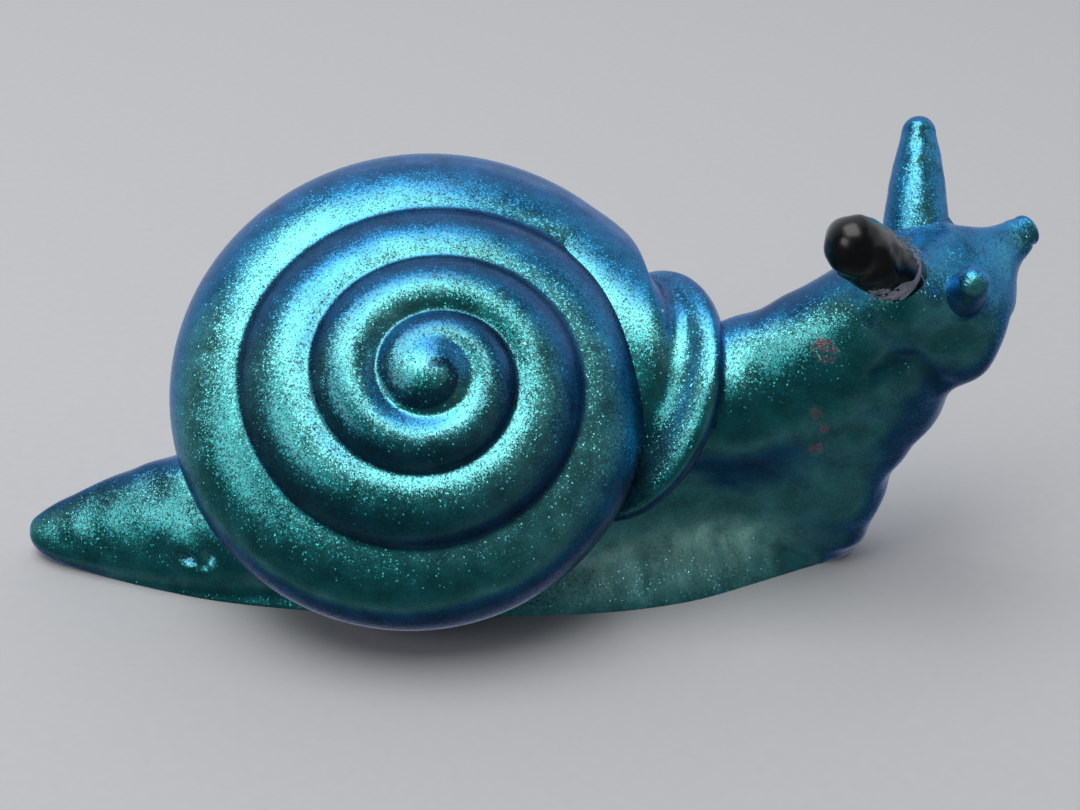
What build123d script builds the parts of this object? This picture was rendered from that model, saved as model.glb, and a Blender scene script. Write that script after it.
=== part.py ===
from build123d import *
import os
from math import cos, exp, pi, radians, sin

# Body casting: tail tip to snout, sole to crown, across the foot
body_length = 90.0
body_height = 34.0
body_width = 21.0

# Sections of tail, foot and neck: under edge, upper edge, half width
# Along, up and across are shares of length, height and width from the sole's middle
section_shares = [
    (-0.407, 0.000, -0.407, 0.120, 0.097),
    (-0.383, -0.030, -0.383, 0.165, 0.152),
    (-0.311, -0.059, -0.311, 0.259, 0.257),
    (-0.222, -0.088, -0.222, 0.338, 0.390),
    (-0.089, -0.088, -0.100, 0.470, 0.495),
    (0.067, -0.088, 0.033, 0.559, 0.505),
    (0.200, -0.088, 0.133, 0.618, 0.425),
    (0.322, -0.059, 0.222, 0.656, 0.390),
    (0.424, 0.030, 0.300, 0.706, 0.343),
    (0.459, 0.250, 0.356, 0.794, 0.314),
    (0.484, 0.418, 0.411, 0.876, 0.295),
    (0.500, 0.530, 0.467, 0.926, 0.276),
]

tail_inset = 0.5

# Foot skirt: along and half width as shares of length and width, height of skirt_height
skirt_shares = [
    (-0.244, 0.255, 0.90),
    (-0.133, 0.395, 1.00),
    (-0.020, 0.460, 1.00),
    (0.104, 0.457, 1.00),
    (0.206, 0.390, 1.00),
    (0.289, 0.295, 0.97),
    (0.367, 0.181, 0.85),
    (0.410, 0.090, 0.60),
    (0.427, 0.030, 0.25),
]
skirt_height = 4.2

# Head, turned toward the near side, with two snout lobes
# A place is given along, across and up as shares of the body's length, width and height
head_place_shares = (0.4867, -0.0714, 0.7853)
head_turn = 22.0
head_length = 13.4
head_diameter = 13.0
lobe_radius = 3.6
lobe_forward = 2.3
lobe_spread = 2.9
lobe_drop = 1.6
brow_radius = 3.7
brow_shares = (-0.200, -0.192, 0.177)

# Shell: a coiled tube about a leaning axis, counted in turns from the apex
# Its sizes are shares of its greatest reach, which follows the body's height
shell_place_shares = (-0.0156, 0.0952, 0.4353)
shell_reach_share = 0.7489
shell_lean = 47.0
shell_swing = 4.9
whorl_turns = 4.195
first_turn = 0.55
last_turn = 4.065
tube_share = 0.308
apex_tube_share = 0.14
apex_turns = 1.2
spire_rise_share = 0.5616
spire_fall = 1.85
spire_right_share = 0.06
spire_up_share = -0.11
top_press_share = 0.066
press_start = 3.2
press_end = 3.6
core_radius_share = 0.3377
core_rise_share = 0.2749
apex_radius_share = 0.1610
apex_rise_share = 0.4477
coil_count = 5
coil_stations = 7

# Mouth of the shell with its rolled lip, as shares of the shell's reach from its middle
mouth_shares = (0.8130, 0.0236, 0.0)
mouth_swing = 21.5
mouth_dip = 30.5
lip_radius_share = 0.4654
lip_bead_share = 0.0785
throat_radius_share = 0.3927
flare_radius_share = 0.424
flare_depth_share = 0.1846
flare_up_share = -0.010
flare_back_share = 0.060

# Eye stalks and feelers from the head's middle: root, tip, then radii root, middle and end
# All are shares of the head's diameter
near_stalk_shares = ((-0.2385, -0.2231, 0.2231), (-0.8154, -0.6846, 0.8231))
near_stalk_radius_shares = (0.177, 0.200, 0.192)
far_stalk_shares = ((-0.1462, 0.2615, 0.2231), (-0.1538, 0.6000, 1.0923))
far_stalk_radius_shares = (0.254, 0.162, 0.100)
near_feeler_shares = ((0.0615, -0.3385, 0.2077), (-0.0231, -0.6769, 0.4692))
near_feeler_radius_shares = (0.123, 0.100, 0.062)
far_feeler_shares = ((0.2000, 0.0923, 0.2846), (0.6000, 0.2692, 0.4308))
far_feeler_radius_shares = (0.138, 0.096, 0.085)
horn_middle_share = 0.45

# Pins, dowels and glue
stalk_pin_radius = 0.6
stalk_pin_length = 6.4
feeler_pin_radius = 0.4
feeler_pin_length = 4.0
dowel_radius = 1.5
dowel_length = 12.0
dowel_spacing = 9.0
dowel_place_shares = (-0.0056, -0.0952, 0.3088)
pin_clearance = 0.05
bead_clearance = 0.05
bead_place_share = 0.15
bead_height = 1.5
bead_reach = 1.1
bead_rim = 0.3


def body_place(shares):
    along, across, up = shares
    return Vector(along * body_length, across * body_width, up * body_height)


def from_head(shares):
    return head_centre + Vector(shares) * head_diameter


def horn_ends(shares):
    root_shares, tip_shares = shares
    return from_head(root_shares), from_head(tip_shares)


def ease(share):
    held = min(max(share, 0), 1)
    return held * held * (3 - 2 * held)


def ray(swing, rise):
    return Vector(cos(rise) * cos(swing), cos(rise) * sin(swing), sin(rise))


def axis_plane(root, tip):
    return Plane(root, z_dir=(tip - root).normalized())


def side_plane(along):
    return Plane(along.origin, x_dir=along.x_dir, z_dir=-along.y_dir)


def horn(ends, radius_shares, blunt=False):
    root, tip = ends
    root_radius, middle_radius, end_radius = [share * head_diameter for share in radius_shares]
    length = (tip - root).length
    shoulder = length - (0 if blunt else end_radius)
    with BuildSketch(side_plane(axis_plane(root, tip))) as profile:
        with BuildLine():
            Line((0, length), (0, 0))
            Line((0, 0), (root_radius, 0))
            Spline((root_radius, 0), (middle_radius, length * horn_middle_share), (end_radius, shoulder))
            if blunt:
                Line((end_radius, length), (0, length))
            else:
                CenterArc((0, shoulder), end_radius, 0, 90)
        make_face()
    revolve(profile.sketch, axis=Axis(root, tip - root))


def pin_places(*ends):
    return [axis_plane(root, tip).location for root, tip in ends]


# Places of head and horns
head_centre = body_place(head_place_shares)
near_stalk_ends = horn_ends(near_stalk_shares)
far_stalk_ends = horn_ends(far_stalk_shares)
near_feeler_ends = horn_ends(near_feeler_shares)
far_feeler_ends = horn_ends(far_feeler_shares)

# Axes and planes of shell and mouth
shell_centre = body_place(shell_place_shares)
shell_reach = shell_reach_share * body_height
shell_axis = ray(radians(shell_swing) - pi / 2, radians(shell_lean))
shell_right = Vector(cos(radians(shell_swing)), sin(radians(shell_swing)), 0)
shell_plane = Plane(shell_centre, x_dir=shell_right, z_dir=shell_axis)
spire_axis = shell_axis + shell_plane.x_dir * spire_right_share + shell_plane.y_dir * spire_up_share
mouth_centre = shell_centre + Vector(mouth_shares) * shell_reach
mouth_axis = ray(radians(mouth_swing), -radians(mouth_dip))
mouth_plane = Plane(mouth_centre, x_dir=(0, 0, 1), z_dir=mouth_axis)
lip_radius = lip_radius_share * shell_reach
lip_bead = lip_bead_share * shell_reach
flare_middle = mouth_centre - mouth_axis * (flare_depth_share * shell_reach)
flare_middle += mouth_plane.x_dir * (flare_up_share * shell_reach)
flare_middle -= mouth_plane.y_dir * (flare_back_share * shell_reach)
flare_plane = Plane(flare_middle, x_dir=mouth_plane.x_dir, z_dir=mouth_axis)


def whorl_plane(turns):
    turn = 2 * pi * (whorl_turns - turns)
    fade = 1 - ease((turns - press_start) / (press_end - press_start))
    press = top_press_share * max(sin(turn), 0) ** 2 * fade
    reach = shell_reach * turns / whorl_turns * (1 - press)
    radius = reach * (tube_share + apex_tube_share * exp(-turns / apex_turns))
    out = shell_plane.x_dir * cos(turn) + shell_plane.y_dir * sin(turn)
    rise = spire_rise_share * shell_reach * (1 - (turns / whorl_turns) ** spire_fall)
    middle = shell_centre + out * (reach - radius) + spire_axis * rise
    return Plane(middle, x_dir=out, z_dir=out.cross(spire_axis)), radius


# Places of the hidden fasteners
stalk_places = pin_places(near_stalk_ends, far_stalk_ends)
feeler_places = pin_places(near_feeler_ends, far_feeler_ends)
dowel_middle = body_place(dowel_place_shares)
dowel_half = Vector(dowel_spacing / 2, 0, 0)
dowel_places = [Location(dowel_middle - dowel_half), Location(dowel_middle + dowel_half)]
hole_extra = 2 * pin_clearance

# Shell casting: lengths of growing tube on a core, the last flaring to the mouth, then the lip
coil_share = (last_turn - first_turn) / coil_count
with BuildPart() as shell:
    for coil in range(coil_count):
        for step in range(coil_stations + 1):
            plane, radius = whorl_plane(first_turn + coil_share * (coil + step / coil_stations))
            with BuildSketch(plane):
                Circle(radius)
        if coil == coil_count - 1:
            with BuildSketch(flare_plane):
                Circle(flare_radius_share * shell_reach)
            with BuildSketch(mouth_plane):
                Circle(throat_radius_share * shell_reach)
        loft()
    first_plane, first_radius = whorl_plane(first_turn)
    with Locations(first_plane.location):
        Sphere(first_radius)
    with Locations(shell_centre + spire_axis * (core_rise_share * shell_reach)):
        Sphere(core_radius_share * shell_reach)
    with Locations(shell_centre + spire_axis * (apex_rise_share * shell_reach)):
        Sphere(apex_radius_share * shell_reach)
    with Locations(mouth_plane.offset(-lip_bead).location):
        Torus(lip_radius - lip_bead, lip_bead)
    with Locations(dowel_places):
        Cylinder(dowel_radius + pin_clearance, dowel_length + hole_extra, mode=Mode.SUBTRACT)
shell.part.label = "shell"

# Eye stalks and feelers, each drilled for its pin
with BuildPart() as near_eye_stalk:
    horn(near_stalk_ends, near_stalk_radius_shares)
    with Locations(stalk_places):
        Cylinder(stalk_pin_radius + pin_clearance, stalk_pin_length + hole_extra, mode=Mode.SUBTRACT)
near_eye_stalk.part.label = "near_eye_stalk"

with BuildPart() as far_eye_stalk:
    horn(far_stalk_ends, far_stalk_radius_shares)
    with Locations(stalk_places):
        Cylinder(stalk_pin_radius + pin_clearance, stalk_pin_length + hole_extra, mode=Mode.SUBTRACT)
far_eye_stalk.part.label = "far_eye_stalk"

with BuildPart() as near_feeler:
    horn(near_feeler_ends, near_feeler_radius_shares)
    with Locations(feeler_places):
        Cylinder(feeler_pin_radius + pin_clearance, feeler_pin_length + hole_extra, mode=Mode.SUBTRACT)
near_feeler.part.label = "near_feeler"

with BuildPart() as far_feeler:
    horn(far_feeler_ends, far_feeler_radius_shares, blunt=True)
    with Locations(feeler_places):
        Cylinder(feeler_pin_radius + pin_clearance, feeler_pin_length + hole_extra, mode=Mode.SUBTRACT)
far_feeler.part.label = "far_feeler"

# Foot skirt, a low rounded pad that the body casting takes in
with BuildPart() as skirt:
    for along, across, high_share in skirt_shares:
        with BuildSketch(Plane((along * body_length, 0, 0), x_dir=(0, 1, 0), z_dir=(1, 0, 0))):
            Ellipse(across * body_width, skirt_height * high_share)
    loft()

# Body casting: tail to neck, skirt, head and snout, flat sole, then its sockets
head_facing = ray(-radians(head_turn), 0)
tail_along, tail_low, _, tail_high, tail_share = section_shares[0]
tail_tip = Vector(tail_along * body_length + tail_inset, 0, (tail_low + tail_high) / 2 * body_height)
tail_radius = tail_share * body_width
head_plane = Plane(head_centre, x_dir=head_facing, z_dir=(0, 0, 1))
with BuildPart() as body:
    for low_along, low_up, high_along, high_up, half_share in section_shares:
        low = Vector(low_along * body_length, 0, low_up * body_height)
        high = Vector(high_along * body_length, 0, high_up * body_height)
        lean = high - low
        with BuildSketch(Plane((low + high) / 2, x_dir=(0, 1, 0), z_dir=(lean.Z, 0, -lean.X))):
            Ellipse(half_share * body_width, lean.length / 2)
    loft()
    add(skirt.part)
    with BuildSketch(Plane(head_centre, x_dir=head_facing, z_dir=-head_plane.y_dir)):
        with BuildLine():
            EllipticalCenterArc((0, 0), head_length / 2, head_diameter / 2, 0, arc_size=180)
            Line((-head_length / 2, 0), (head_length / 2, 0))
        make_face()
    revolve(axis=Axis(head_centre, head_facing))
    lobe_plane = head_plane.offset(-lobe_drop)
    near_lobe = lobe_plane.from_local_coords(Vector(lobe_forward, -lobe_spread, 0))
    far_lobe = lobe_plane.from_local_coords(Vector(lobe_forward, lobe_spread, 0))
    with Locations(near_lobe, far_lobe):
        Sphere(lobe_radius)
    with Locations(from_head(brow_shares)):
        Sphere(brow_radius)
    with Locations(tail_tip):
        Sphere(tail_radius)
    split(bisect_by=Plane.XY, keep=Keep.TOP)
    for piece in (shell, near_eye_stalk, far_eye_stalk, near_feeler, far_feeler):
        add(piece.part, mode=Mode.SUBTRACT)
    with Locations(stalk_places):
        Cylinder(stalk_pin_radius + pin_clearance, stalk_pin_length + hole_extra, mode=Mode.SUBTRACT)
    with Locations(feeler_places):
        Cylinder(feeler_pin_radius + pin_clearance, feeler_pin_length + hole_extra, mode=Mode.SUBTRACT)
    with Locations(dowel_places):
        Cylinder(dowel_radius + pin_clearance, dowel_length + hole_extra, mode=Mode.SUBTRACT)
body.part.label = "body"

# Dried glue round the root of the near eye stalk, a collar that thins up the stalk
near_root, near_tip = near_stalk_ends
near_axis = near_tip - near_root
bead_plane = Plane(near_root + near_axis * bead_place_share, z_dir=near_axis.normalized())
bead_inner = max(near_stalk_radius_shares) * head_diameter + bead_clearance
with BuildPart() as stalk_glue_bead:
    with BuildSketch(side_plane(bead_plane)) as bead_profile:
        with BuildLine():
            Polyline(
                (bead_inner, 0),
                (bead_inner + bead_reach, 0),
                (bead_inner + bead_rim, bead_height),
                (bead_inner, bead_height),
                close=True,
            )
        make_face()
    revolve(bead_profile.sketch, axis=Axis(near_root, near_axis))
    add(body.part, mode=Mode.SUBTRACT)
stalk_glue_bead.part.label = "stalk_glue_bead"

# Hidden dowels and pins
with BuildPart() as shell_dowels:
    with Locations(dowel_places):
        Cylinder(dowel_radius, dowel_length)
shell_dowels.part.label = "shell_dowels"

with BuildPart() as eye_stalk_pins:
    with Locations(stalk_places):
        Cylinder(stalk_pin_radius, stalk_pin_length)
eye_stalk_pins.part.label = "eye_stalk_pins"

with BuildPart() as feeler_pins:
    with Locations(feeler_places):
        Cylinder(feeler_pin_radius, feeler_pin_length)
feeler_pins.part.label = "feeler_pins"

# One file a piece
os.makedirs("parts", exist_ok=True)
export_step(body.part, "parts/body.step")
export_step(shell.part, "parts/shell.step")
export_step(near_eye_stalk.part, "parts/near_eye_stalk.step")
export_step(far_eye_stalk.part, "parts/far_eye_stalk.step")
export_step(near_feeler.part, "parts/near_feeler.step")
export_step(far_feeler.part, "parts/far_feeler.step")
export_step(stalk_glue_bead.part, "parts/stalk_glue_bead.step")
export_step(shell_dowels.part, "parts/shell_dowels.step")
export_step(eye_stalk_pins.part, "parts/eye_stalk_pins.step")
export_step(feeler_pins.part, "parts/feeler_pins.step")
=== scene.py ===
import bpy
import numpy as np
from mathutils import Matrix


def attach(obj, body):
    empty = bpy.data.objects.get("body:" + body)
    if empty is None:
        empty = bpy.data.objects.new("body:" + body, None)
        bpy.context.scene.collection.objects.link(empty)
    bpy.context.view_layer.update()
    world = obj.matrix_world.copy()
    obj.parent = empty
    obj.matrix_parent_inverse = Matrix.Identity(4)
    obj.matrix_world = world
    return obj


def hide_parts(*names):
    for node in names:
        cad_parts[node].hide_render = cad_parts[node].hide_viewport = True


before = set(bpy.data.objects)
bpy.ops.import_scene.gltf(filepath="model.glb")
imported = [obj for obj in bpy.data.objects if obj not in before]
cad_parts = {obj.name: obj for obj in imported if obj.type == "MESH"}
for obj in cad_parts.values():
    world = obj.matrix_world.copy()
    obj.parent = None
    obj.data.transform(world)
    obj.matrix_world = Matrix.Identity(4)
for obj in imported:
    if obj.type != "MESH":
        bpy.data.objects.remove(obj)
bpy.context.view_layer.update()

mm = 0.001  # pieces are worked out in millimetres and written in metres
print("frame loaded,", len(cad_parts), "nodes")


def unit(v):  # each vector divided by its own length
    return v / np.maximum(np.linalg.norm(v, axis=-1, keepdims=True), 1e-9)


def ray(swing, rise):  # direction at a swing about Z and a rise above the floor, in degrees
    a, e = np.radians(swing), np.radians(rise)
    return np.array([np.cos(e) * np.cos(a), np.cos(e) * np.sin(a), np.sin(e)])


def ease(low, high, x):  # 3s2 - 2s3 of the share s of x between low and high
    s = np.clip((x - low) / (high - low), 0, 1)
    return s * s * (3 - 2 * s)


def through(knots, values, at):  # cubic through the values at the knots, slopes from the neighbours on both sides
    knots, values = np.asarray(knots, float), np.asarray(values, float)
    slopes = np.gradient(values, knots, axis=0)
    i = np.clip(np.searchsorted(knots, at, side="right") - 1, 0, len(knots) - 2)
    h = knots[i + 1] - knots[i]
    s = (at - knots[i]) / h
    if values.ndim > 1:
        s, h = s[..., None], h[..., None]
    rise, run = s * s * (3 - 2 * s), s * (1 - s)
    return values[i] * (1 - rise) + values[i + 1] * rise + h * run * (slopes[i] * (1 - s) - slopes[i + 1] * s)


def melt(soft, *distances):  # smooth minimum: minus soft times the log of the summed exp of minus distance over soft
    d = np.stack(np.broadcast_arrays(*distances))
    low = d.min(axis=0)
    return low - soft * np.log(np.exp((low - d) / soft).sum(axis=0))


def lumps(points, size, seed, waves=14):  # sum of plane waves about size long, in seeded directions, near -1 to 1
    rng = np.random.default_rng(seed)
    ways = unit(rng.normal(size=(waves, 3))) * 2 * np.pi / size * rng.uniform(0.7, 1.5, (waves, 1))
    return np.sin(points @ ways.T + rng.uniform(0, 2 * np.pi, waves)).sum(axis=-1) / np.sqrt(waves)


def rod(points, a, b, ra, rb):  # distance to a round bar from a to b whose radius goes from ra to rb
    a, b = np.array(a), np.array(b)
    s = np.clip((points - a) @ (b - a) / ((b - a) @ (b - a)), 0, 1)
    return np.linalg.norm(points - a - s[..., None] * (b - a), axis=-1) - ra - (rb - ra) * s


def bell(points, place, width):  # exp of minus the squared distance to a place over the squared width
    return np.exp(-((points - np.array(place)) ** 2).sum(axis=-1) / width**2)


def gridNormals(grid):  # cross product of the differences along and round the grid
    along = np.gradient(grid, axis=0)
    round_ = np.roll(grid, -1, axis=1) - np.roll(grid, 1, axis=1)
    return unit(np.cross(round_, along))


def outward(grid):  # the grid with its columns turned round where the volume it holds comes out negative
    a, b = np.roll(grid[:-1], -1, axis=1) - grid[:-1], grid[1:] - grid[:-1]
    middle = grid.reshape(-1, 3).mean(axis=0)
    held = ((grid[:-1] - middle) * np.cross(a, b)).sum()
    return grid if held > 0 else grid[:, ::-1]


# Joins grids into one mesh: each closes round its columns and ends in a point at each end
def skin(name, patches, marks, material):
    verts, faces, tags, base = [], [], {k: [] for k in marks}, 0
    for n, grid in enumerate(patches):
        rows, cols = grid.shape[:2]
        idx = np.arange(rows * cols).reshape(rows, cols) + base
        nxt = np.roll(idx, -1, axis=1)
        quads = np.stack([idx[:-1], nxt[:-1], nxt[1:], idx[1:]], axis=-1).reshape(-1, 4)
        first, last = base + rows * cols, base + rows * cols + 1
        caps = [np.stack([nxt[0], idx[0], np.full(cols, first)], axis=-1)]
        caps.append(np.stack([idx[-1], nxt[-1], np.full(cols, last)], axis=-1))
        verts += [grid.reshape(-1, 3), grid[:1].mean(axis=1), grid[-1:].mean(axis=1)]
        faces += quads.tolist() + caps[0].tolist() + caps[1].tolist()
        for k in marks:
            m = marks[k][n]
            tags[k] += [m.ravel(), [m[0].mean()], [m[-1].mean()]]
        base += rows * cols + 2
    mesh = bpy.data.meshes.new(name)
    mesh.from_pydata(np.concatenate(verts) * mm, [], faces)
    for k in marks:
        mesh.attributes.new(k, "FLOAT", "POINT").data.foreach_set("value", np.concatenate(tags[k]).astype(np.float32))
    mesh.polygons.foreach_set("use_smooth", np.ones(len(mesh.polygons), bool))
    mesh.materials.append(material)
    piece = bpy.data.objects.new(name, mesh)
    bpy.context.collection.objects.link(piece)
    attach(piece, "root")
    print(name, len(faces), "faces")
    return piece


def linear(text):  # sRGB hex to linear red, green, blue and alpha
    c = np.array([int(text[i:i + 2], 16) for i in (1, 3, 5)]) / 255
    return (*np.where(c <= 0.04045, c / 12.92, ((c + 0.055) / 1.055) ** 2.4), 1.0)


# Adds a node: settings by name, inputs by name or number as a value or as another node's output
def addNode(tree, kind, inputs={}, **settings):
    node = tree.nodes.new("ShaderNode" + kind)
    for k, v in settings.items():
        setattr(node, k, v)
    for k, v in inputs.items():
        if isinstance(v, bpy.types.NodeSocket):
            tree.links.new(v, node.inputs[k])
        else:
            node.inputs[k].default_value = v
    return node


def startMaterial(name):
    material = bpy.data.materials.new(name)
    material.use_nodes = True
    material.node_tree.nodes.clear()
    return material, material.node_tree


# Colour-shift mica paint, brushed on cast resin: plates of mica lie in it, green-mint face on, blue as the surface
# turns away, violet at the rim, and each plate leans its own way and glints; the green-mint and blue are a painted
# sheen set by how each surface faces, and the violet rim comes partly from its end and partly from the shader's edge
# tint
paintLook = dict(
    turned=((0.0, "#1E8288"), (0.25, "#32989A"), (0.44, "#62BCBE"), (0.63, "#2A84B4"), (0.84, "#326CA0"), (1.0, "#6C86AC")),
    # painted shade is the dark blue here, and a painted highlight the pale mint after it
    painted_shade="#0F3C62", painted_highlight="#B4FAEA", rub="#8E4A52", speck="#B9C9C4", rim="#BCC6E0", sheen="#6E86CC",
    flake=0.115, tilt=2.0, stray=0.6, bright=(0.8, 1.2), coats=(0.8, 1.25), rough=(0.24, 0.37), patch=7.0, smear=2.2, specks=5.5,
)


def micaPaint():
    material, tree = startMaterial("colour_shift_mica_paint")
    p = paintLook
    place = addNode(tree, "TexCoord").outputs["Object"]
    turned = addNode(tree, "Attribute", attribute_name="turned").outputs["Fac"]
    painted_shade = addNode(tree, "Attribute", attribute_name="painted_shade").outputs["Fac"]
    rub = addNode(tree, "Attribute", attribute_name="rub").outputs["Fac"]
    painted_highlight = addNode(tree, "Attribute", attribute_name="painted_highlight").outputs["Fac"]
    patch = addNode(tree, "TexNoise", {"Vector": place, "Scale": 1 / (p["patch"] * mm), "Detail": 4.0})
    shift = addNode(tree, "Math", {0: patch.outputs["Fac"], 1: 0.5}, operation="SUBTRACT")
    shift = addNode(tree, "Math", {0: shift.outputs[0], 1: 0.3, 2: turned}, operation="MULTIPLY_ADD")
    # the ramp paints the sheen: teal face on, a painted highlight of pale mint, then blue and slate as the surface
    # turns away
    ramp = addNode(tree, "ValToRGB", {"Fac": shift.outputs[0]})
    for n, (at, colour) in enumerate(p["turned"]):
        stop = ramp.color_ramp.elements[n] if n < 2 else ramp.color_ramp.elements.new(at)
        stop.position, stop.color = at, linear(colour)
    # painted shade: dark blue mixed in where the mark is set, in grooves, creases, folds and on down-facing sides
    colour = addNode(tree, "Mix", {"Factor": painted_shade, "A": ramp.outputs["Color"], "B": linear(p["painted_shade"])}, data_type="RGBA")
    # painted highlight: pale mint mixed in over the patches on the foot
    colour = addNode(tree, "Mix", {"Factor": painted_highlight, "A": colour.outputs["Result"], "B": linear(p["painted_highlight"])}, data_type="RGBA")
    # plates of mica, drawn about twice their real size so that they show
    flakes = addNode(tree, "TexVoronoi", {"Vector": place, "Scale": 1 / (p["flake"] * mm)})
    level = addNode(tree, "SeparateColor", {"Color": flakes.outputs["Color"]})
    level = addNode(tree, "MapRange", {"Value": level.outputs["Red"], "To Min": p["bright"][0], "To Max": p["bright"][1]})
    smear = addNode(tree, "TexNoise", {"Vector": place, "Scale": 1 / (p["smear"] * mm), "Detail": 5.0})
    coat = addNode(tree, "MapRange", {"Value": smear.outputs["Fac"], "From Min": 0.35, "From Max": 0.65,
                                      "To Min": p["coats"][0], "To Max": p["coats"][1]})  # brushed thick and thin
    level = addNode(tree, "Math", {0: level.outputs["Result"], 1: coat.outputs["Result"]}, operation="MULTIPLY")
    colour = addNode(tree, "Mix", {"Factor": 1.0, "A": colour.outputs["Result"], "B": level.outputs[0]},
                     data_type="RGBA", blend_type="MULTIPLY")
    # rubbed spots show the reddish undercoat, and a few pale specks of dust sit on the paint
    grit = addNode(tree, "TexNoise", {"Vector": place, "Scale": 1 / (0.5 * mm), "Detail": 5.0})
    worn = addNode(tree, "Math", {0: rub, 1: grit.outputs["Fac"]}, operation="MULTIPLY")
    worn = addNode(tree, "MapRange", {"Value": worn.outputs[0], "From Min": 0.3, "From Max": 0.6})
    colour = addNode(tree, "Mix", {"Factor": worn.outputs["Result"], "A": colour.outputs["Result"], "B": linear(p["rub"])}, data_type="RGBA")
    dots = addNode(tree, "TexVoronoi", {"Vector": place, "Scale": 1 / (p["specks"] * mm)})
    dots = addNode(tree, "MapRange", {"Value": dots.outputs["Distance"], "From Min": 0.03, "From Max": 0.02})
    colour = addNode(tree, "Mix", {"Factor": dots.outputs["Result"], "A": colour.outputs["Result"], "B": linear(p["speck"])}, data_type="RGBA")
    plain = addNode(tree, "Math", {0: worn.outputs["Result"], 1: painted_highlight}, operation="MAXIMUM")
    metal = addNode(tree, "MapRange", {"Value": plain.outputs[0], "To Min": 0.94, "To Max": 0.3})  # the rubbed spots and the painted highlight are milky, less metallic
    rough = addNode(tree, "MapRange", {"Value": smear.outputs["Fac"], "From Min": 0.3, "From Max": 0.7,
                                       "To Min": p["rough"][0], "To Max": p["rough"][1]})
    # most plates lie nearly flat and a few lean far: each lean is multiplied by its own square
    lean = addNode(tree, "VectorMath", {0: flakes.outputs["Color"], 1: (0.5, 0.5, 0.5)}, operation="SUBTRACT")
    size = addNode(tree, "VectorMath", {0: lean.outputs["Vector"]}, operation="ABSOLUTE")
    size = addNode(tree, "VectorMath", {0: size.outputs["Vector"], 1: size.outputs["Vector"]}, operation="MULTIPLY")
    lean = addNode(tree, "VectorMath", {0: lean.outputs["Vector"], 1: size.outputs["Vector"]}, operation="MULTIPLY")
    # about one plate in ten stands well out of line, which gives lone sparks in the dark parts
    stray = addNode(tree, "SeparateColor", {"Color": flakes.outputs["Color"]})
    stray = addNode(tree, "MapRange", {"Value": stray.outputs["Blue"], "From Min": 0.86, "From Max": 0.94, "To Max": p["stray"]})
    facing = addNode(tree, "NewGeometry").outputs["Normal"]
    lean = addNode(tree, "VectorMath", {0: lean.outputs["Vector"], 1: (p["tilt"],) * 3, 2: facing}, operation="MULTIPLY_ADD")
    away = addNode(tree, "VectorMath", {0: flakes.outputs["Color"], 1: (0.5, 0.5, 0.9)}, operation="SUBTRACT")
    lean = addNode(tree, "VectorMath", {0: away.outputs["Vector"], 1: stray.outputs["Result"], 2: lean.outputs["Vector"]}, operation="MULTIPLY_ADD")
    lean = addNode(tree, "VectorMath", {0: lean.outputs["Vector"]}, operation="NORMALIZE")
    shader = addNode(tree, "BsdfPrincipled", {
        "Base Color": colour.outputs["Result"], "Metallic": metal.outputs["Result"], "Roughness": rough.outputs["Result"],
        "Normal": lean.outputs["Vector"], "Specular Tint": linear(p["rim"]),
        "Coat Weight": 0.3, "Coat Roughness": 0.22,  # a lacquer over it
        "Sheen Weight": 0.08, "Sheen Roughness": 0.4, "Sheen Tint": linear(p["sheen"])})
    addNode(tree, "OutputMaterial", {"Surface": shader.outputs["BSDF"]})
    return material


# Bare black casting resin, glossy where it came off the mould
def blackResin():
    material, tree = startMaterial("black_cast_resin")
    place = addNode(tree, "TexCoord").outputs["Object"]
    grain = addNode(tree, "TexNoise", {"Vector": place, "Scale": 1 / (0.9 * mm), "Detail": 5.0})
    rough = addNode(tree, "MapRange", {"Value": grain.outputs["Fac"], "To Min": 0.12, "To Max": 0.38})
    dust = addNode(tree, "Attribute", attribute_name="dust").outputs["Fac"]
    lint = addNode(tree, "TexNoise", {"Vector": place, "Scale": 1 / (0.35 * mm), "Detail": 6.0})
    dust = addNode(tree, "Math", {0: dust, 1: lint.outputs["Fac"]}, operation="MULTIPLY")
    dust = addNode(tree, "MapRange", {"Value": dust.outputs[0], "From Min": 0.38, "From Max": 0.6})
    colour = addNode(tree, "Mix", {"Factor": dust.outputs["Result"], "A": linear("#070909"), "B": linear("#9CA0B4")}, data_type="RGBA")
    shader = addNode(tree, "BsdfPrincipled", {"Base Color": colour.outputs["Result"], "Roughness": rough.outputs["Result"]})
    addNode(tree, "OutputMaterial", {"Surface": shader.outputs["BSDF"]})
    return material


# Dried contact glue, a milky film with stringy ends
def driedGlue():
    material, tree = startMaterial("dried_glue")
    place = addNode(tree, "TexCoord").outputs["Object"]
    cloud = addNode(tree, "TexNoise", {"Vector": place, "Scale": 1 / (0.6 * mm), "Detail": 6.0})
    colour = addNode(tree, "Mix", {"Factor": cloud.outputs["Fac"], "A": linear("#3A4254"), "B": linear("#B4B8C8")}, data_type="RGBA")
    shader = addNode(tree, "BsdfPrincipled", {"Base Color": colour.outputs["Result"], "Roughness": 0.6})
    addNode(tree, "OutputMaterial", {"Surface": shader.outputs["BSDF"]})
    return material


# Turned birch, pale with fine grain along the dowel
def birchWood():
    material, tree = startMaterial("turned_birch")
    place = addNode(tree, "TexCoord").outputs["Object"]
    long = addNode(tree, "Mapping", {"Vector": place, "Scale": (1.0, 1.0, 0.12)})
    grain = addNode(tree, "TexNoise", {"Vector": long.outputs["Vector"], "Scale": 1 / (0.4 * mm), "Detail": 3.0})
    colour = addNode(tree, "Mix", {"Factor": grain.outputs["Fac"], "A": linear("#B98F5E"), "B": linear("#E2C79B")}, data_type="RGBA")
    shader = addNode(tree, "BsdfPrincipled", {"Base Color": colour.outputs["Result"], "Roughness": 0.6})
    addNode(tree, "OutputMaterial", {"Surface": shader.outputs["BSDF"]})
    return material


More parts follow.
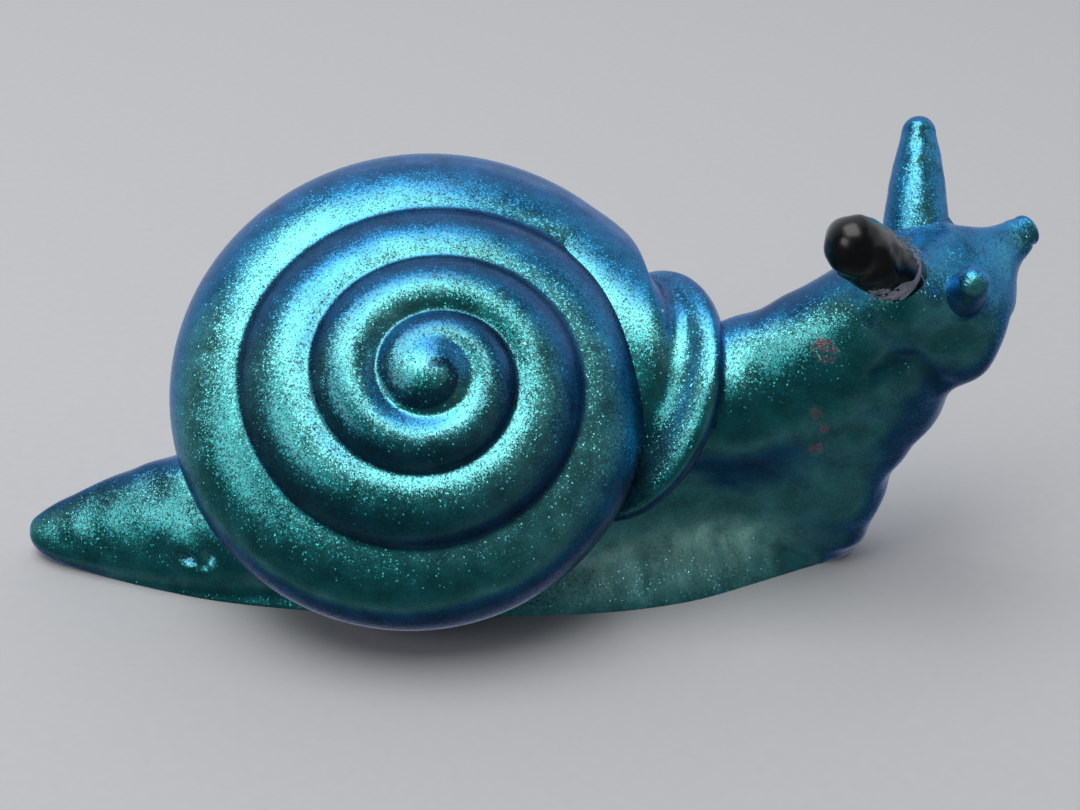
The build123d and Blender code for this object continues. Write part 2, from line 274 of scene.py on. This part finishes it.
# Drawn steel wire with faint lines along it
def steelWire():
    material, tree = startMaterial("drawn_steel_wire")
    place = addNode(tree, "TexCoord").outputs["Object"]
    draw = addNode(tree, "TexNoise", {"Vector": place, "Scale": 1 / (0.3 * mm), "Detail": 2.0})
    rough = addNode(tree, "MapRange", {"Value": draw.outputs["Fac"], "To Min": 0.25, "To Max": 0.42})
    shader = addNode(tree, "BsdfPrincipled", {"Base Color": linear("#B9BBBE"), "Metallic": 1.0, "Roughness": rough.outputs["Result"]})
    addNode(tree, "OutputMaterial", {"Surface": shader.outputs["BSDF"]})
    return material


paint, resin, glue, birch, wire = micaPaint(), blackResin(), driedGlue(), birchWood(), steelWire()
for nodeName, material in (("shell_dowels", birch), ("eye_stalk_pins", wire), ("feeler_pins", wire)):
    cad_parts[nodeName].data.materials.clear()
    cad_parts[nodeName].data.materials.append(material)
print("materials made")


# Shell: sizes in mm, turns counted from the apex
shellLook = dict(
    centre=(-1.4, 2.0, 14.8), lean=47, swing=4.9, pitch=6.07, turns=4.195, lastTurn=4.065, rise=14.3, fall=1.85, tube=0.308, apexTube=0.14,
    spireLean=(0.06, -0.11), topPress=0.066, pressEnds=(3.2, 3.6), core=(7.0, 8.6), apex=(11.5, 4.8), soft=0.2, grooveWidth=0.3, flankWidth=4.4, rows=260, cols=270,
    mouth=(19.3, 2.6, 14.8), mouthSwing=21.5, mouthDip=30.5,
    lip=((-4.9, 9.5, 0.75, -2.6), (-4.2, 9.3, 0.7, -2.1), (-3.5, 9.6, 0.5, -1.3), (-2.9, 11.0, 0.1, -0.3),
         (-2.0, 11.85, 0, 0), (-1.2, 11.65, 0, 0), (-0.5, 11.05, 0, 0), (0.0, 10.0, 0, 0), (0.1, 8.8, 0, 0), (-0.4, 7.4, 0, 0), (-0.8, 5.0, 0, 0),
         (-0.9, 2.0, 0, 0), (-0.9, 0.2, 0, 0)),
)
coilAxis = ray(shellLook["swing"] - 90, shellLook["lean"])
coilRight = ray(shellLook["swing"], 0)
coilUp = np.cross(coilAxis, coilRight)
coilCentre = np.array(shellLook["centre"])
spire = coilAxis + coilRight * shellLook["spireLean"][0] + coilUp * shellLook["spireLean"][1]  # the spire leans a little from the whorls' plane


def ringAt(turns):  # centre out from the axis, centre up along it and radius of the tube at a count of turns
    s = shellLook
    press = s["topPress"] * np.maximum(np.sin(2 * np.pi * (s["turns"] - turns)), 0) ** 2 * (1 - ease(*s["pressEnds"], turns))
    reach = s["pitch"] * np.maximum(turns, 0.03) * (1 - press)
    radius = reach * (s["tube"] + s["apexTube"] * np.exp(-np.maximum(turns, 0) / 1.2))
    return reach - radius, s["rise"] * (1 - (np.maximum(turns, 0) / s["turns"]) ** s["fall"]), radius


def ringsAcross(angle):  # the tube circles that cross the half plane at an angle: turns less the angle's share, and whole turns less
    s = shellLook
    turns = s["turns"] - (angle / (2 * np.pi))[..., None] - np.arange(5)
    out, up, radius = ringAt(turns)
    fade = ease(s["lastTurn"], s["turns"], turns)  # past the last turn the flare takes over
    return out * (1 - 0.4 * fade), up, radius * (1 - 0.6 * fade)


def coilDistances(out, up, rings):  # distance from a point of the half plane to each circle, core and apex last
    s = shellLook
    d = [np.hypot(out - rings[0][..., n], up - rings[1][..., n]) - rings[2][..., n] for n in range(5)]
    d.append(np.hypot(out, up - s["core"][0]) - s["core"][1])
    d.append(np.hypot(out, up - s["apex"][0]) - s["apex"][1])
    return d


def coilGrid():  # rays from a point low on the axis, walked inward by their distance to the melted circles until they touch
    s = shellLook
    front = int(s["rows"] * 0.86)
    pitchUp = np.radians(np.concatenate([np.linspace(89.6, -16, front), np.linspace(-18, -89, s["rows"] - front)]))[:, None]
    angle = (np.arange(s["cols"]) * 2 * np.pi / s["cols"])[None, :]
    rings = ringsAcross(np.broadcast_to(angle, (s["rows"], s["cols"])))
    far = np.full((s["rows"], s["cols"]), 34.0)
    for step in range(70):
        out, up = far * np.cos(pitchUp), 2.0 + far * np.sin(pitchUp)
        far = far - 0.8 * melt(s["soft"], *coilDistances(out, up, rings))
    whole = ringAt(s["turns"] - (np.broadcast_to(angle, far.shape) / (2 * np.pi))[..., None] - np.arange(5))
    # painted shade by the sutures: the mark darkens each groove and runs wide over the inner whorl's flank
    near = np.stack(coilDistances(out, up, whole)[:5])
    order = np.argsort(near, axis=0)
    gap = np.diff(np.take_along_axis(near, order[:2], axis=0), axis=0)[0]
    width = np.where(order[0] > order[1], s["flankWidth"], s["grooveWidth"])  # wide on the inner whorl's flank
    spoke = np.cos(angle)[..., None] * coilRight + np.sin(angle)[..., None] * coilUp
    grid = coilCentre + out[..., None] * spoke + up[..., None] * spire
    return grid, 1 - ease(0, width, gap)


def flareGrid():  # circles carried from the last whorl to the mouth, then the lip's profile turned about the mouth's axis
    s = shellLook
    mouthAxis = ray(s["mouthSwing"], -s["mouthDip"])
    mouthUp = unit(np.array([0, 0, 1.0]) - mouthAxis[2] * mouthAxis)
    mouthSide = np.cross(mouthAxis, mouthUp)
    mouthCentre = np.array(s["mouth"])
    knots, rows = [], []
    for turns, size in ((3.66, 0.8), (3.8, 0.97), (3.91, 0.992), (4.0, 1.0), (4.065, 1.0)):
        out, up, radius = ringAt(np.array(turns))
        a = 2 * np.pi * (s["turns"] - turns)
        spoke = np.cos(a) * coilRight + np.sin(a) * coilUp
        rows.append(np.concatenate([coilCentre + spoke * out + spire * up, spoke, spire, [radius * size]]))
    for offset, radius, over, near in s["lip"]:
        rows.append(np.concatenate([mouthCentre + mouthAxis * offset + mouthUp * over + mouthSide * near, mouthUp, mouthSide, [radius]]))
    rows = np.array(rows)
    steps = np.linalg.norm(np.diff(rows[:, :3], axis=0), axis=1) + np.abs(np.diff(rows[:, 9])) + 0.05
    knots = np.concatenate([[0], np.cumsum(steps)])
    at = np.linspace(0, knots[-1], 130)
    bits = through(knots, rows, at)
    around = (np.arange(150) * 2 * np.pi / 150)[None, :, None]
    grid = bits[:, None, :3] + bits[:, None, 9:10] * (np.cos(around) * unit(bits[:, 3:6])[:, None] + np.sin(around) * unit(bits[:, 6:9])[:, None])
    return grid


# How far a surface is turned from the broad sides of the snail, which lean up a little: the angle to the nearer
# of the two, as a share of a right angle
broadSides = unit(np.array([[-0.2, -0.95, 0.2], [-0.2, 0.95, 0.2]]))


def underShade(normals):  # painted shade on what faces down: a share that grows with the downward lean
    return 0.7 * ease(0.0, -0.7, normals[..., 2])


def lowBlueShade(normals, share):  # painted shade on what faces down, pushed towards the ramp's darker blues: grows with the downward lean
    return share * ease(0.2, -0.4, normals[..., 2])


# the share it gives sets the painted sheen of the ramp
def turnedAway(normals):
    return np.arccos(np.clip((normals @ broadSides.T).max(axis=-1), 0, 1)) / (np.pi / 2)


def buildShell():
    grids, marks = [], {"turned": [], "painted_shade": [], "rub": [], "painted_highlight": []}
    coil, painted_shade = coilGrid()
    flare = flareGrid()
    for g, dark in ((coil, painted_shade), (flare, np.zeros(flare.shape[:2]))):
        g2 = outward(g)
        if g2 is not g:
            dark = dark[:, ::-1]
        grids.append(g2)
        # painted sheen from the turned share, painted shade in the grooves and on what faces down
        marks["turned"].append(turnedAway(gridNormals(g2)) + lowBlueShade(gridNormals(g2), 0.4))
        marks["painted_shade"].append(np.maximum(0.8 * dark, underShade(gridNormals(g2))))
        marks["rub"].append(np.zeros(dark.shape))
        marks["painted_highlight"].append(np.zeros(dark.shape))
    piece = skin("snail_shell", grids, marks, paint)
    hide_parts("shell")


buildShell()


# Body: rings from tail to head, each with its middle along and up, its lean back in degrees, half height and half
# width; the foot as half width on the floor and height; bars for neck and front; then the head
bodyLook = dict(
    rings=((-38.6, 1.9, 0, 0.0, 0.0), (-38.2, 1.9, 0, 1.3, 1.2), (-37.2, 1.8, 0, 2.4, 2.2), (-34.5, 1.7, 0, 4.1, 3.5), (-28.0, 1.9, 0, 6.9, 5.7),
           (-20.0, 2.9, 0, 8.6, 7.9), (-8.5, 6.5, 3, 9.5, 9.6), (4.5, 8.0, 8, 11.0, 9.4), (15.0, 9.0, 14, 11.5, 6.3),
           (24.5, 10.2, 20, 12.0, 3.8), (32.6, 12.3, 28.6, 12.6, 4.7), (36.9, 18.7, 31.4, 9.4, 5.5), (40.0, 22.4, 33, 8.0, 5.2),
           (43.8, 26.7, 37, 3.0, 3.0)),
    foot=((-35.0, 0.8, 0.6), (-31.4, 3.4, 1.4), (-23.4, 6.7, 2.4), (-12.0, 9.3, 4.0), (-2.0, 10.2, 5.0), (9.4, 10.2, 6.0),
          (18.4, 9.3, 6.6), (24.0, 7.8, 6.6), (28.8, 5.6, 5.8), (34.0, 3.0, 4.2), (38.4, 0.5, 3.0)),
    neck=(((14.0, 0.4, 15.0), (27.0, -0.3, 16.8), 5.0, 5.9), ((27.0, -0.3, 16.8), (39.0, -1.2, 23.8), 5.9, 5.3)),
    folds=(((37.4, 23.2), (38.9, 24.5), (40.4, 24.7), (41.8, 23.5), (43.4, 21.7)), ((20.5, 11.0), (23.5, 11.8), (27.0, 12.2), (30.0, 13.2)),
           ((50.0, 26.6), (49.4, 23.4))), foldWidth=0.9, foldDepth=(0.4, 0.13, 0.5),  # chin, neck and snout, along and up
    headCentre=(43.8, -1.5, 26.7), headTurn=22, headSize=(6.7, 6.4, 6.3), lobes=((2.4, -2.1, -2.2, 3.5), (3.0, 4.0, -0.8, 3.3)), brow=((39.8, -4.7, 29.2), 4.1),
    join=0.9, lobeJoin=0.5, neckJoin=1.4, crease=((-34, 0.15), (-8, 0.9)), trunkPower=((-30, 1.6), (0, 2.0), (20, 2.2)), skirtPower=1.25, rows=400, cols=230,
    pits=((-22.7, 4.2, 0.42), (-22.3, 3.95, 0.42), (-21.9, 3.85, 0.36), (-20.9, 3.6, 0.5), (-20.5, 4.7, 0.36), (-20.2, 4.4, 0.36),
          (-20.1, 4.1, 0.3)),  # along, up and width, on the near side
    highlightSpots=((25.0, 4.0, 6.0, 2.2, 1.0), (15.0, 3.2, 5.0, 1.9, 0.7)),  # painted highlight patches: along, up, the two widths, share
    rubs=((33.4, 24.6, 1.6), (33.0, 19.0, 1.0), (34.0, 17.2, 0.8), (33.4, 14.8, 1.1)),
)
headFacing = ray(-bodyLook["headTurn"], 0)
headFrame = np.stack([headFacing, np.cross([0, 0, 1.0], headFacing), [0, 0, 1.0]])


def headDistance(p):  # head, cheeks, brow and the swellings that the horns stand on, melted together
    b = bodyLook
    q = (p - np.array(b["headCentre"])) @ headFrame.T
    d = [(np.linalg.norm(q / np.array(b["headSize"]), axis=-1) - 1) * min(b["headSize"])]
    d.append(np.linalg.norm(p - np.array(b["brow"][0]), axis=-1) - b["brow"][1])
    for horn in hornLook.values():
        if horn["swell"]:
            root, axis = np.array(horn["root"]), unit(np.array(horn["tip"]) - np.array(horn["root"]))
            d.append(rod(p, root - axis, root + axis * horn["swell"][0], horn["swell"][1], horn["swell"][2]))
    lobes = [np.linalg.norm(q - np.array(lobe[:3]), axis=-1) - lobe[3] for lobe in b["lobes"]]
    return melt(b["lobeJoin"], melt(b["join"], *d), *lobes)


def footDistance(p):  # a sloping skirt: the powers of y over width and z over height add up to 1 on it
    foot, power = np.array(bodyLook["foot"]), bodyLook["skirtPower"]
    at = np.linspace(*foot[[0, -1], 0], 300)
    wide, tall = [np.interp(p[..., 0], at, np.maximum(line, 0.3)) for line in through(foot[:, 0], foot[:, 1:], at).T]
    share = (np.abs(p[..., 1]) / wide) ** power + (np.maximum(p[..., 2], 0) / tall) ** power
    arch = (share ** (1 / power) - 1) * np.minimum(wide, tall)
    return np.maximum(arch, np.abs(p[..., 0] - foot[[0, -1], 0].mean()) - np.ptp(foot[:, 0]) / 2)


def bodyGrid():  # rays in each ring's plane, walked inward to the melted trunk, foot, neck and head until they touch
    b = bodyLook
    middle = np.array(b["headCentre"])
    ahead = unit(np.array(hornLook["far_feeler"]["tip"]) - middle)
    tip = 14.0
    for step in range(60):  # the last ring closes inside the far feeler
        tip = tip - 0.8 * headDistance(middle + ahead * tip)
    end = middle + ahead * (tip - 0.01)
    rings = np.array(b["rings"] + ((end[0], end[2], 37, 0.5, 0.5),))
    run = np.concatenate([[0], np.cumsum(np.hypot(np.diff(rings[:, 0]), np.diff(rings[:, 1])))])
    knots = np.arccos(1 - 2 * run / run[-1]) / np.pi  # rings crowd at both ends, so that tail and head close round
    bits = through(knots, rings, np.linspace(0.004, 1, b["rows"]))
    lean = np.radians(bits[:, 2])
    up = np.stack([-np.sin(lean), 0 * lean, np.cos(lean)], axis=-1)[:, None]
    around = (np.arange(b["cols"]) * 2 * np.pi / b["cols"])[None, :]
    rays = np.sin(around)[..., None] * up + np.cos(around)[..., None] * np.array([0, 1.0, 0])
    shift = ease(30, 44, bits[:, 0]) * b["headCentre"][1] + np.maximum(bits[:, 0] - b["headCentre"][0], 0) * ahead[1] / ahead[0]
    middle = np.stack([bits[:, 0], shift, bits[:, 1]], axis=-1)[:, None]
    high, wide = np.maximum(bits[:, 3:4], 0.02), np.maximum(bits[:, 4:5], 0.02)
    full = np.interp(bits[:, :1], *np.transpose(b["trunkPower"]))
    trunk = ((np.abs(np.sin(around)) / high) ** full + (np.abs(np.cos(around)) / wide) ** full) ** (-1 / full)
    far = np.full(trunk.shape, 26.0)
    soft = np.interp(bits[:, :1], *np.transpose(b["crease"]))
    for step in range(90):
        p = middle + far[..., None] * rays
        upper = melt(b["neckJoin"], far - trunk, headDistance(p) + 0.6, *[rod(p, *bar) + 0.6 for bar in b["neck"]])
        lower = footDistance(p)
        far = np.maximum(far - 0.7 * melt(soft, upper, lower), 0.01)
    # painted shade in the crease where the trunk meets the foot
    crease = 0.4 * (1 - ease(0, 0.9, np.abs(upper - lower)))
    p[..., 2] = 0.12 * np.logaddexp(0, p[..., 2] / 0.12)  # the sole lies flat on the floor
    return p, crease


def buildBody():
    b = bodyLook
    grid, crease = bodyGrid()
    turned = outward(grid)
    if turned is not grid:
        crease = crease[:, ::-1]
    n = gridNormals(turned)
    x, z = turned[..., 0], turned[..., 2]
    above = ease(0.3, 2.5, z)
    uneven = 0.07 * lumps(turned, 5.0, 11) + 0.1 * lumps(turned, 4.5, 9) * ease(30, 38, x) * (1 - ease(17, 22, z))
    near = turned[..., 1] < 0
    pits = sum(0.5 * bell(turned[..., ::2], spot[:2], spot[2]) for spot in b["pits"]) * near
    flat = turned[..., ::2]
    fold = np.zeros(x.shape)
    for line, depth in zip(b["folds"], b["foldDepth"]):
        away = np.min([rod(flat, a, c, 0, 0) for a, c in zip(line, line[1:])], axis=0)
        fold = np.maximum(fold, depth * np.exp(-((away / b["foldWidth"]) ** 2)) * near)
    grid = turned + (above * (uneven - pits - fold))[..., None] * n
    # painted shade on the tops of neck and tail, darker where they face up
    topShade = 0.65 * ease(0.55, 0.88, n[..., 2]) * np.maximum(ease(26, 31, x) * (1 - ease(37, 41, x)), 1 - ease(-28, -20, x))
    crease = np.maximum(np.maximum(crease, 1.6 * fold), topShade)  # painted shade in the creases and folds, and on the tops of neck and tail
    rub = sum(bell(grid[..., ::2], spot[:2], spot[2]) for spot in b["rubs"]) * near
    bluer = 0.6 * (0.64 - turnedAway(n)) * ease(25, 31, z) * ease(38, 42, x)  # the head's painted sheen is held evenly blue on top
    # painted highlight: pale mint patches on the near side of the foot
    highlight = sum(p[4] * np.exp(-(((x - p[0]) / p[2]) ** 2) - ((z - p[1]) / p[3]) ** 2) for p in b["highlightSpots"]) * near
    highlight = np.clip(highlight * (0.9 + 0.2 * lumps(grid, 2.5, 21)), 0, 1)
    # the marks carry painted sheen, painted shade in creases, folds, tops and underneath, and painted highlight
    # patches
    marks = {"turned": [turnedAway(gridNormals(grid)) + bluer + lowBlueShade(n, 0.25)], "painted_shade": [np.maximum(np.clip(crease, 0, 0.8) * above, underShade(n))], "rub": [np.clip(rub, 0, 1)], "painted_highlight": [highlight]}
    piece = skin("snail_body", [grid], marks, paint)
    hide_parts("body")


# Eye stalks and feelers: root, tip, then share along the axis against radius, in mm; swell is how far the head rises
# round the root, and the radii of that rise at its two ends
hornLook = dict(
    near_eye_stalk=dict(root=(40.7, -4.4, 29.6), tip=(32.7, -10.4, 37.5), shape=((0, 2.2), (0.3, 2.35), (0.6, 2.6), (0.78, 2.5)),
                        end=2.5, rough=0.08, swell=None),
    far_eye_stalk=dict(root=(41.9, 1.9, 29.6), tip=(42.5, 9.0, 39.8), shape=((0, 2.9), (0.2, 2.85), (0.45, 2.5), (0.7, 1.95), (0.89, 1.45)),
                       end=1.45, rough=0.05, swell=(4.4, 4.3, 2.3)),
    near_feeler=dict(root=(44.0, -5.6, 29.0), tip=(44.3, -9.5, 33.3), shape=((0, 2.1), (0.45, 1.7), (0.8, 1.3)), end=1.3, rough=0.03,
                     swell=(1.2, 3.3, 1.8)),
    far_feeler=dict(root=(46.4, -0.3, 30.4), tip=(51.6, 2.0, 32.3), shape=((0, 2.1), (0.45, 1.6), (0.93, 1.4)), end=0.5, rough=0.04,
                    swell=(4.0, 3.4, 1.3)),
)


def hornGrid(look, rows=90, cols=72):  # radius along the axis through the shape's points, then a rounded end, with lumps added
    root, tip = np.array(look["root"]), np.array(look["tip"])
    axis, length = unit(tip - root), np.linalg.norm(tip - root)
    side = unit(np.cross(axis, [0.3, 0.2, 0.9]))
    over = np.cross(axis, side)
    shape = np.array(look["shape"])
    shoulder = length - look["end"]
    lower = np.linspace(0, shoulder, rows - 24)
    round_ = np.radians(np.linspace(2, 88, 24))
    radius = through(shape[:, 0] * length, shape[:, 1], lower)
    along = np.concatenate([lower, shoulder + look["end"] * np.sin(round_)])
    radius = np.concatenate([radius, radius[-1] - look["end"] + look["end"] * np.cos(round_)])
    around = (np.arange(cols) * 2 * np.pi / cols)[None, :, None]
    spoke = np.cos(around) * side + np.sin(around) * over
    grid = root + along[:, None, None] * axis + radius[:, None, None] * spoke
    bumps = lumps(grid, 2.2, 5) * ease(0.3, 0.7, along / length)[:, None] + 0.5 * lumps(grid, 4.0, 8)
    return grid + (look["rough"] * bumps * (1 - ease(0.9, 1.0, along / length))[:, None])[..., None] * spoke


def buildHorns():
    for name, look in hornLook.items():
        g = outward(hornGrid(look))
        n = gridNormals(g)
        blank = np.zeros(g.shape[:2])
        black = name == "near_eye_stalk"
        dust = sum(bell(g, spot[:3], spot[3]) for spot in dustSpots)
        # the painted horns get painted sheen from their facing and painted shade underneath
        marks = {"dust": [np.clip(dust, 0, 1)]} if black else {"turned": [0.34 + 0.55 * turnedAway(n)], "painted_shade": [underShade(n)], "rub": [blank], "painted_highlight": [blank]}
        piece = skin("snail_" + name, [g], marks, resin if black else paint)
        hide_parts(name)


dustSpots = ((36.6, -9.0, 31.8, 1.5), (37.6, -8.2, 30.6, 1.5), (37.9, -5.5, 34.8, 1.4), (39.0, -4.6, 33.6, 1.4))
buildBody()
buildHorns()


# Dried glue round the near eye stalk's root: a thin uneven film, mostly on the two sides, with stringy ends
glueLook = dict(place=0.28, height=2.2, inner=2.38, reach=0.14, strands=40, strand=(0.05, 1.6), seed=6)


def stalkFrame():
    look = hornLook["near_eye_stalk"]
    root, tip = np.array(look["root"]), np.array(look["tip"])
    axis, length = unit(tip - root), np.linalg.norm(tip - root)
    side = unit(np.cross(axis, [0.3, 0.2, 0.9]))
    return root, axis, length, side, np.cross(axis, side)


def glueGrid(rows=28, cols=110):  # a half-round profile turned about the stalk's axis; where its reach is negative it stays inside
    root, axis, length, side, over = stalkFrame()
    around = (np.arange(cols) * 2 * np.pi / cols)[None, :]
    share = np.linspace(0, np.pi, rows)[:, None]
    reach = 0.15 + 0.55 * np.cos(2 * around + 0.4) + 0.25 * np.sin(5 * around) + 0.15 * np.sin(11 * around + 1)
    radius = glueLook["inner"] + glueLook["reach"] * np.clip(reach, -0.4, 1) * np.sin(share)
    along = glueLook["place"] * length + glueLook["height"] * (0.7 + 0.3 * np.sin(3 * around)) * share / np.pi
    spoke = np.cos(around)[..., None] * side + np.sin(around)[..., None] * over
    return root + along[..., None] * axis + radius[..., None] * spoke


def strandGrids():  # thin tapering tubes on arcs that leave the stalk's surface, bend along it and come off at the end
    g, rng = glueLook, np.random.default_rng(glueLook["seed"])
    root, axis, length, side, over = stalkFrame()
    t = np.linspace(0, 1, 12)[:, None, None]
    turn = (np.arange(6) * np.pi / 3)[None, :, None]
    grids = []
    for n in range(g["strands"]):
        swing = rng.choice([0.4, np.pi + 0.4]) * -0.5 + rng.normal() * 0.45
        spoke = np.cos(swing) * side + np.sin(swing) * over
        across = np.cross(axis, spoke)
        start = root + axis * length * rng.uniform(0.26, 0.5) + spoke * 2.4
        way = axis * rng.normal() * 0.8 + across * rng.normal() + spoke * rng.uniform(0.0, 0.5)
        path = start + t * unit(way) * g["strand"][1] * rng.uniform(0.5, 1) + spoke * 0.25 * np.sin(3 * t + rng.uniform(0, 3))
        one, two = unit(np.cross(way, [0.2, 0.9, 0.1])), unit(np.cross(way, np.cross(way, [0.2, 0.9, 0.1])))
        grids.append(outward(path + g["strand"][0] * (1 - 0.6 * t) * (np.cos(turn) * one + np.sin(turn) * two)))
    return grids


def buildGlue():
    g = outward(glueGrid())
    g = g + (0.06 * lumps(g, 0.8, 3))[..., None]
    piece = skin("snail_glue_bead", [g] + strandGrids(), {}, glue)
    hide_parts("stalk_glue_bead")


buildGlue()


# Floor, lamps and camera: one wide panel overhead, open towards the back and the left, and a dim room that is darkest
# behind the camera
stageLook = dict(
    floor="#CACACC", size=3.0, panel=((-0.22, -0.05, 0.8), 0.66, 0.75, 4.9), boxes=(((0.75, 0.2, 0.4), 0.8, 0.9), ((-0.65, -0.45, 0.45), 0.36, 1.1)),
    room="#DDE3EA", dim=0.12, open=0.95, backdrop=0.62,
    camera=(0.0094, -0.1279, 0.0912), pitch=59.5, lens=55.0,
)


def buildStage():
    s = stageLook
    mesh = bpy.data.meshes.new("floor")
    h = s["size"] / 2
    mesh.from_pydata([(-h, -h, 0), (h, -h, 0), (h, h, 0), (-h, h, 0)], [], [(0, 1, 2, 3)])
    material, tree = startMaterial("matt_paper_floor")
    grain = addNode(tree, "TexNoise", {"Vector": addNode(tree, "TexCoord").outputs["Object"], "Scale": 1 / (1.2 * mm), "Detail": 3.0})
    tone = addNode(tree, "MapRange", {"Value": grain.outputs["Fac"], "To Min": 0.97, "To Max": 1.03})
    colour = addNode(tree, "Mix", {"Factor": 1.0, "A": linear(s["floor"]), "B": tone.outputs["Result"]}, data_type="RGBA", blend_type="MULTIPLY")
    shader = addNode(tree, "BsdfPrincipled", {"Base Color": colour.outputs["Result"], "Roughness": 0.9})
    addNode(tree, "OutputMaterial", {"Surface": shader.outputs["BSDF"]})
    mesh.materials.append(material)
    floor = bpy.data.objects.new("floor", mesh)
    bpy.context.collection.objects.link(floor)
    floor.visible_glossy = False  # the paint doesn't mirror the paper
    place, wide, deep, power = s["panel"]
    data = bpy.data.lights.new("overhead_panel", "AREA")
    data.shape, data.size, data.size_y, data.energy = "RECTANGLE", wide, deep, power
    lamp = bpy.data.objects.new("overhead_panel", data)
    lamp.location = place
    bpy.context.collection.objects.link(lamp)
    for place, wide, power in s["boxes"]:
        data = bpy.data.lights.new("softbox", "AREA")
        data.size, data.energy = wide, power
        lamp = bpy.data.objects.new("softbox", data)
        lamp.location = place
        aim = np.array([0.0, 0.0, 0.015]) - np.array(place)
        lamp.rotation_euler = (np.arctan2(np.hypot(aim[0], aim[1]), -aim[2]), 0, np.arctan2(-aim[0], aim[1]))
        bpy.context.collection.objects.link(lamp)
    world = bpy.data.worlds.new("studio")
    world.use_nodes = True
    tree = world.node_tree
    tree.nodes.clear()
    way = addNode(tree, "SeparateXYZ", {"Vector": addNode(tree, "TexCoord").outputs["Generated"]})
    level = addNode(tree, "MapRange", {"Value": way.outputs["Y"], "From Min": 0.0, "From Max": 0.9, "To Min": s["dim"], "To Max": s["open"]},
                    interpolation_type="SMOOTHSTEP")
    seen = addNode(tree, "LightPath").outputs["Is Camera Ray"]
    level = addNode(tree, "Mix", {"Factor": seen, "A": level.outputs["Result"], "B": s["backdrop"]})
    back = addNode(tree, "Background", {"Color": linear(s["room"]), "Strength": level.outputs["Result"]})
    addNode(tree, "OutputWorld", {"Surface": back.outputs["Background"]})
    bpy.context.scene.world = world
    data = bpy.data.cameras.new("camera")
    data.sensor_width, data.lens, data.clip_start = 36.0, s["lens"], 0.005
    camera = bpy.data.objects.new("camera", data)
    camera.location = s["camera"]
    camera.rotation_euler = (np.radians(s["pitch"]), 0, 0)
    bpy.context.collection.objects.link(camera)
    bpy.context.scene.camera = camera
    bpy.context.scene.view_settings.view_transform = "Standard"


buildStage()
print("stage set")
